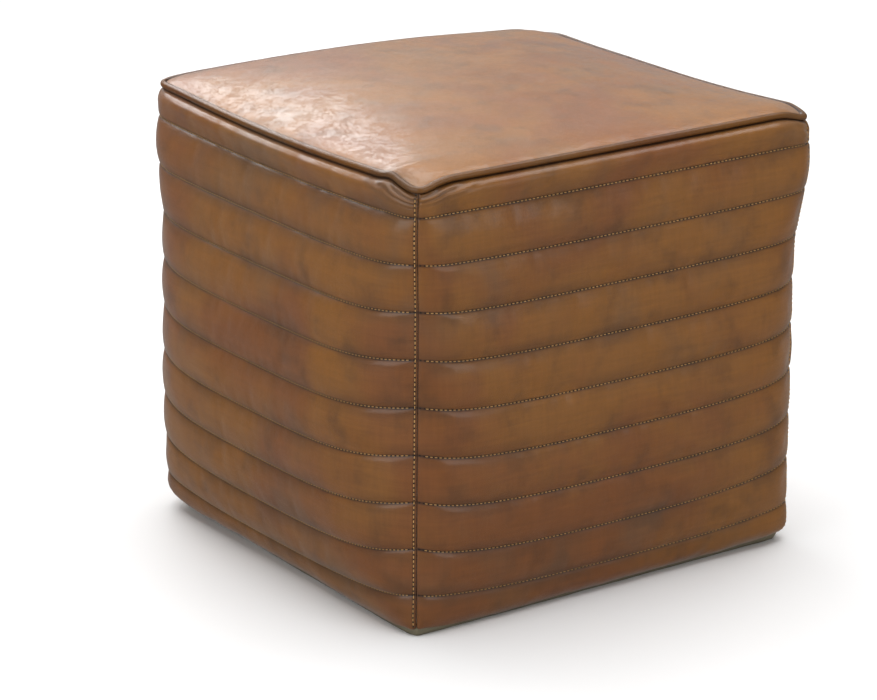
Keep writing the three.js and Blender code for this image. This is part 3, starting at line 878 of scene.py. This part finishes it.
def zip_teeth(half):
    """One row of moulded zip teeth, each a block with a rounded head."""
    low, high = node_box(f"zip_teeth_{half}")
    sign, shift = (1, 0) if half == "rear" else (-1, TOOTH_PITCH / 2)
    middle, tall = (low[2] + high[2]) / 2, (high[2] - low[2]) / 2
    near_y, far_y = sorted((abs(low[1]), abs(high[1])))
    outline = [(far_y, 0.8), (far_y, -0.8), (near_y + 0.9, -0.8), (near_y + 0.5, -1.0), (near_y + 0.1, -0.85),
               (near_y, 0), (near_y + 0.1, 0.85), (near_y + 0.5, 1.0), (near_y + 0.9, 0.8)]
    outline = np.array(outline) * [sign, tall]
    face = np.stack([0 * outline[:, 0], outline[:, 0], outline[:, 1] + middle], -1)
    x = np.arange(low[0] + shift, high[0] - TOOTH_THICK, TOOTH_PITCH)
    points = face + np.stack([x, x + TOOTH_THICK], 1)[..., None, None] * [1, 0, 0]
    piece = mesh_object(f"moulded_teeth_{half}", points, tubes(2, len(outline), len(x), sign > 0))
    piece.data.polygons.foreach_set("use_smooth", np.zeros(len(piece.data.polygons), bool))
    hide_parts(f"zip_teeth_{half}")
    return piece


def zip_seam(half):
    """The stitches that hold one zip tape to the canvas."""
    low, high = node_box(f"zip_stitching_{half}")
    x = np.arange(low[0], high[0], 3.0)
    path = np.stack([x, 0 * x + (low[1] + high[1]) / 2, 0 * x + low[2] + 0.55], -1)
    points = beads(path, np.tile([0.0, 0, -1], (len(x), 1)), ZIP_THREAD_RADIUS, ZIP_THREAD_DIP)
    piece = mesh_object(f"tape_stitching_{half}", points, bead_faces(points))
    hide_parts(f"zip_stitching_{half}")
    return piece


# ---- Materials ----

GOLD = (0.215, 0.080, 0.007, 1)
RUSSET = (0.170, 0.050, 0.009, 1)
UMBER = (0.070, 0.028, 0.007, 1)
GREYED = (0.130, 0.074, 0.036, 1)
SEAM_SHADE = (0.040, 0.016, 0.007, 1)
# painted shade: the near-black colour of the needle holes, standing in for the shadow inside them
HOLE_SHADE = (0.008, 0.004, 0.002, 1)
GRAIN_DEPTH = 0.35 * MM


class Finish:
    """A node material under construction."""

    def __init__(self, name):
        self.material = bpy.data.materials.new(name)
        self.material.use_nodes = True
        self.tree = self.material.node_tree
        self.shader = self.tree.nodes["Principled BSDF"]

    def feed(self, socket, value):
        """Link or set a socket. Text is the name of a mesh attribute."""
        if isinstance(value, str):
            value = self.node("Attribute", attribute_name=value).outputs["Fac"]
        if isinstance(value, bpy.types.NodeSocket):
            self.tree.links.new(value, socket)
        else:
            socket.default_value = value

    def node(self, kind, inputs=None, **properties):
        made = self.tree.nodes.new("ShaderNode" + kind)
        for key, value in properties.items():
            setattr(made, key, value)
        for key, value in (inputs or {}).items():
            self.feed(made.inputs[key], value)
        return made

    def set(self, **inputs):
        for key, value in inputs.items():
            self.feed(self.shader.inputs[key.replace("_", " ")], value)

    def place(self):
        return self.node("TexCoord").outputs["Object"]

    def stretched(self, x, y, z):
        return self.node("Mapping", {"Vector": self.place(), "Scale": (x, y, z)}).outputs["Vector"]

    def noise(self, scale, detail=3, vector=None, rough=0.55, warp=0.0):
        inputs = {"Vector": vector or self.place(), "Scale": scale, "Detail": detail,
                  "Roughness": rough, "Distortion": warp}
        return self.node("TexNoise", inputs).outputs["Fac"]

    def math(self, operation, a, b=0.0, c=0.0):
        return self.node("Math", {0: a, 1: b, 2: c}, operation=operation).outputs[0]

    def times(self, a, b):
        return self.math("MULTIPLY", a, b)

    def ramp(self, value, low, high, start=0.0, end=1.0):
        """value's range from low to high spread smoothly from start to end."""
        inputs = {"Value": value, "From Min": low, "From Max": high, "To Min": start, "To Max": end}
        return self.node("MapRange", inputs, interpolation_type="SMOOTHSTEP").outputs["Result"]

    def mix(self, share, a, b, blend="MIX"):
        made = self.node("Mix", data_type="RGBA", blend_type=blend)
        colours = [s for s in made.inputs if s.type == "RGBA"]
        for socket, value in zip([made.inputs[0], *colours], (share, a, b)):
            self.feed(socket, value)
        return [s for s in made.outputs if s.type == "RGBA"][0]

    def stain_and_shade(self, colour, amount, share, shade=SEAM_SHADE):
        """A colour turned towards a darker colour by a share of an amount, used both for real tone and for
        painted shade.
        """
        return self.mix(self.times(amount, share), colour, shade)

    def bump(self, height, strength, distance=GRAIN_DEPTH):
        inputs = {"Height": height, "Distance": distance, "Strength": strength}
        return self.node("Bump", inputs).outputs["Normal"]

    def on(self, *pieces):
        for piece in pieces:
            piece.data.materials.clear()
            piece.data.materials.append(self.material)


def leather_colour(finish, lightness=1.0):
    """Mottled waxed cognac leather."""
    lit = lambda colour: tuple(min(1, c * lightness) for c in colour[:3]) + (1,)
    base = finish.mix(finish.ramp(finish.noise(7, 3, warp=0.6), 0.38, 0.66, 0, 0.75), lit(GOLD), lit(RUSSET))
    base = finish.mix(finish.ramp(finish.noise(11, 4, warp=0.3), 0.50, 0.78, 0, 0.55), base, lit(GREYED))
    base = finish.mix(finish.ramp(finish.noise(31, 5), 0.48, 0.80, 0, 0.55), base, lit(UMBER))
    wide = finish.noise(1, 4, finish.stretched(22, 22, 330))
    tall = finish.noise(1, 4, finish.stretched(300, 300, 26))
    streak = finish.math("MULTIPLY_ADD", wide, 0.34, finish.math("MULTIPLY_ADD", tall, 0.26, 0.70))
    shade = finish.node("CombineColor", {"Red": streak, "Green": streak, "Blue": streak}).outputs[0]
    return finish.mix(1.0, base, shade, "MULTIPLY")


def leather_grain(finish):
    """Height of the leather's fine grain and faint creases."""
    cells = finish.node("TexVoronoi", {"Vector": finish.place(), "Scale": 900.0}, feature="DISTANCE_TO_EDGE")
    pores = finish.ramp(cells.outputs["Distance"], 0.0, 0.16)
    soft = finish.noise(260, 4)
    crease = finish.noise(1, 5, finish.stretched(60, 60, 190), warp=1.2)
    rubbed = finish.node("Mapping", {"Vector": finish.place(), "Rotation": (0.3, 0.2, 0.75),
                                     "Scale": (110, 620, 380)})
    fibres = finish.noise(1, 4, rubbed.outputs["Vector"], warp=2.5)
    soft = finish.math("MULTIPLY_ADD", fibres, 1.6, soft)
    height = finish.math("MULTIPLY_ADD", pores, 0.25, finish.times(soft, 0.6))
    return finish.math("MULTIPLY_ADD", crease, 0.9, height)


def leather_surface(finish, colour, rough, relief):
    """What the sides' and the seat's leather have in common."""
    grain = leather_grain(finish)
    finish.set(Base_Color=colour, Roughness=finish.ramp(finish.noise(24, 4), 0.3, 0.7, *rough),
               Normal=finish.bump(grain, relief), Coat_Normal=finish.bump(grain, 0.12),
               Specular_IOR_Level=0.4, Coat_Roughness=0.17)


def holes(finish, along, gap, pitch, start=0.0):
    """1 inside a row's needle holes, from the names of the attributes along it and away from it."""
    turn = finish.math("DIVIDE", finish.math("SUBTRACT", along, start), pitch)
    turn = finish.math("FRACT", finish.math("ADD", turn, 0.5))
    from_hole = finish.math("ABSOLUTE", finish.math("SUBTRACT", turn, 0.5))
    from_row = finish.math("ABSOLUTE", gap)
    return finish.times(finish.ramp(from_hole, 0.26, 0.16), finish.ramp(from_row, 1.0, 0.5))


def side_leather():
    """The sides' leather, with a burnished tone and painted shade beside its seams, grime and painted shade in
    them, painted shade in the corner creases, the corner seams and under the piping, and needle holes painted
    dark for their shade.
    """
    finish = Finish("side_leather")
    colour = leather_colour(finish)
    # painted shade in the crease valleys round the top corners, darkest where the creases are deepest
    colour = finish.stain_and_shade(colour, "fold_depth", 0.45)
    # a darker umber band within 14 mm of each seam, patchy by noise: partly the antique finish's tone, partly
    # painted shade on the channels' rounded sides
    burnish_and_shade = finish.times(finish.ramp("row_gap", 14, 1), finish.ramp(finish.noise(12, 3), 0.30, 0.62))
    colour = finish.stain_and_shade(colour, burnish_and_shade, 0.42, UMBER)
    # grime and painted shade in the seam grooves, darkest within 2.4 mm of each seam and patchy by noise
    dirt_and_shade = finish.times(finish.ramp("row_gap", 2.4, 0.2), finish.noise(70, 3))
    colour = finish.stain_and_shade(colour, dirt_and_shade, 1.4)
    # painted shade in the corner seam, within 1 mm of a panel's end, where the two panels meet
    corner = finish.ramp("end_gap", 1.0, 0.2)
    colour = finish.stain_and_shade(colour, corner, 0.6)
    beside = finish.ramp(finish.math("ABSOLUTE", "corner_gap"), 2.4, 0.5)
    colour = finish.stain_and_shade(colour, beside, 0.3)
    # painted shade under the piping, on the top 2.4 mm of the panel where it tucks under the roll
    shade_under_piping = finish.ramp("height", PANEL_TOP - 2.4, PANEL_TOP - 0.6)
    colour = finish.stain_and_shade(colour, shade_under_piping, 0.9)
    # painted shade: the needle holes of the corner topstitching and of the channel rows are darkened nearly to
    # black for the shadow inside them
    in_line = holes(finish, "corner_up", "corner_gap", CORNER_STITCH_PITCH)
    colour = finish.stain_and_shade(colour, in_line, 0.9, HOLE_SHADE)
    in_row = holes(finish, "row_along", "row_gap", STITCH_PITCH, ROW_END)
    colour = finish.stain_and_shade(colour, in_row, 0.9, HOLE_SHADE)
    leather_surface(finish, colour, (0.36, 0.50), 0.55)
    finish.set(Coat_Weight=0.38, Sheen_Weight=0.17, Sheen_Roughness=0.35)
    return finish


def top_leather():
    """The seat's leather, a lighter copy of the leather colour painted for the stronger light on the top, with
    painted shade beside the piping and a worn gloss.
    """
    finish = Finish("top_leather")
    # painted light: the seat takes a 1.5 times lighter copy of the leather colour for the stronger light
    # falling on the top
    colour = leather_colour(finish, 1.5)
    # painted shade in the crevice where the seat's leather meets the piping, within 2 mm of its edge
    edge = finish.ramp("edge_gap", 2.0, 0.6)
    colour = finish.stain_and_shade(colour, edge, 0.85)
    leather_surface(finish, colour, (0.28, 0.40), 0.5)
    worn = finish.math("MULTIPLY_ADD", finish.noise(230, 4, rough=0.65, warp=1.2), 0.65,
                       finish.times(finish.noise(50, 3), 0.35))
    finish.set(Coat_Weight=finish.ramp(worn, 0.45, 0.55, 0.04, 0.54), Sheen_Weight=0.28, Sheen_Roughness=0.5)
    return finish


def piping_leather():
    """The piping's leather, in a darker copy of the leather colour, with painted shade on its lower side and
    its upper inner side, where it meets the panels.
    """
    finish = Finish("piping_leather")
    colour = leather_colour(finish, 0.7)
    # painted shade on the roll's lower side, where it meets the side panel
    colour = finish.stain_and_shade(colour, finish.ramp("round_it", math.radians(-12), math.radians(-50)), 0.88)
    # painted shade on the roll's upper inner side, where it meets the seat's leather
    colour = finish.stain_and_shade(colour, finish.ramp("round_it", math.radians(100), math.radians(128)), 0.9)
    finish.set(Base_Color=colour, Roughness=0.3, Normal=finish.bump(leather_grain(finish), 0.6),
               Specular_IOR_Level=0.35, Coat_Weight=0.25, Coat_Roughness=0.14)
    return finish


def thread_finish():
    finish = Finish("waxed_thread")
    colour = finish.mix(finish.noise(400, 2), (0.42, 0.22, 0.06, 1), (0.62, 0.36, 0.12, 1))
    finish.set(Base_Color=colour, Roughness=0.55)
    return finish


def plain_finish(name, colour, rough, scale, strength, metal=0.0):
    """A plain material with a faint weave or grain of one scale."""
    finish = Finish(name)
    dark = tuple(c * 0.7 for c in colour) + (1,)
    shade = finish.mix(finish.noise(scale, 3), (*colour, 1), dark)
    finish.set(Base_Color=shade, Roughness=rough, Metallic=metal,
               Normal=finish.bump(finish.noise(scale * 2, 3), strength, 0.3 * MM))
    return finish


# ---- Camera, light and floor ----

AZIMUTH, ELEVATION, ROLL = math.radians(55.27), math.radians(18.0), math.radians(-0.18)
CAMERA_DISTANCE = 3.5
AIM_RIGHT, AIM_UP = -0.0314, 0.1652
LENS = 158.4


def make_camera():
    data = bpy.data.cameras.new("camera")
    data.lens = LENS
    data.sensor_width = 36
    camera = bpy.context.scene.camera = placed("camera", data)
    sideways = Vector((math.cos(AZIMUTH), math.sin(AZIMUTH), 0))
    back = Vector((math.sin(AZIMUTH) * math.cos(ELEVATION),
                   -math.cos(AZIMUTH) * math.cos(ELEVATION), math.sin(ELEVATION)))
    upward = back.cross(sideways)
    turn = Matrix.Rotation(ROLL, 3, back)
    axes = Matrix((turn @ sideways, turn @ upward, back)).transposed()
    place = sideways * AIM_RIGHT + Vector((0, 0, AIM_UP)) + back * CAMERA_DISTANCE
    camera.matrix_world = Matrix.Translation(place) @ axes.to_4x4()


def softbox(name, direction, distance, size, power):
    """A square lamp that looks at the pouf's middle from a direction."""
    data = bpy.data.lights.new(name, "AREA")
    data.shape = "RECTANGLE"
    data.size, data.size_y = size
    data.energy = power
    lamp = placed(name, data)
    way = Vector(direction).normalized()
    lamp.location = Vector((0, 0, 0.2)) + way * distance
    lamp.rotation_euler = way.to_track_quat("Z", "Y").to_euler()


def studio():
    scene = bpy.context.scene
    scene.view_settings.view_transform = "Standard"
    world = bpy.data.worlds.new("studio")
    world.use_nodes = True
    light, strength = world.node_tree.nodes["Background"].inputs[:2]
    light.default_value, strength.default_value = (1, 1, 1, 1), 0.2
    scene.world = world
    softbox("back_left_box", (-0.80, 0.0, 0.52), 2.0, (1.85, 0.46), 15)
    softbox("front_box", (0.15, -0.95, 0.36), 2.2, (1.4, 1.2), 13)
    softbox("right_box", (0.95, 0.15, 0.34), 2.2, (1.4, 1.2), 10)
    sun = bpy.data.lights.new("overhead_light", "SUN")
    sun.energy, sun.angle = 3.0, math.radians(70)
    placed("overhead_light", sun).rotation_euler = (math.radians(-8), math.radians(-6), 0)
    floor = bpy.data.meshes.new("floor")
    floor.from_pydata([(-8, -8, 0), (8, -8, 0), (8, 8, 0), (-8, 8, 0)], [], [(0, 1, 2, 3)])
    ground = placed("floor", floor)
    finish = Finish("floor")
    finish.set(Base_Color=(0.86, 0.86, 0.86, 1), Roughness=0.8)
    finish.on(ground)
    ground.visible_glossy = False


make_camera()
studio()
*SIDE_PUFFS, SEAT_PUFF = cloth_shapes()
SIDE_FACTS = [side_grid(side, puff) for side, puff in zip(SIDES, SIDE_PUFFS)]
side_leather().on(*[side_panel(facts) for facts in SIDE_FACTS])
thread = thread_finish()
thread.on(*[seam_stitching(facts) for facts in SIDE_FACTS])
thread.on(*[corner_stitching(facts) for facts in SIDE_FACTS])
piping_leather().on(piping())
top_leather().on(top_panel(SEAT_PUFF))
CANVAS = plain_finish("canvas", (0.19, 0.165, 0.105), 0.9, 600, 0.5)
COTTON = plain_finish("cotton", (0.68, 0.61, 0.48), 0.9, 500, 0.4)
WADDING = plain_finish("wadding", (0.82, 0.79, 0.72), 0.95, 120, 0.8)
BRASS = plain_finish("brass", (0.60, 0.40, 0.14), 0.35, 90, 0.1, 1.0)
TAPE = plain_finish("zip_tape", (0.075, 0.06, 0.04), 0.85, 700, 0.5)
TEETH = plain_finish("zip_teeth", (0.10, 0.075, 0.045), 0.4, 200, 0.1)
LAYERS = [side_layers(side) for side in SIDES] + [top_layers()]
WADDING.on(*[wadding for wadding, _ in LAYERS])
COTTON.on(*[lining for _, lining in LAYERS])
CORD = piping_cord()
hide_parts("piping_cord")
COTTON.on(CORD, bag_lid(), stuffed_body("stuffed_inner_bag", "inner_bag", 13, 16, 398))
WADDING.on(stuffed_body("bead_and_cotton_fill", "loose_fill", 16, 22, 390))
CANVAS.on(base_half(0), base_half(1), canvas_hem())
TEETH.on(zip_teeth("front"), zip_teeth("rear"))
thread.on(zip_seam("front"), zip_seam("rear"))
TAPE.on(NODES["zip_tape_front"], NODES["zip_tape_rear"])
BRASS.on(NODES["zip_slider"], NODES["zip_pull"], NODES["zip_top_stop"], NODES["zip_bottom_stop"])
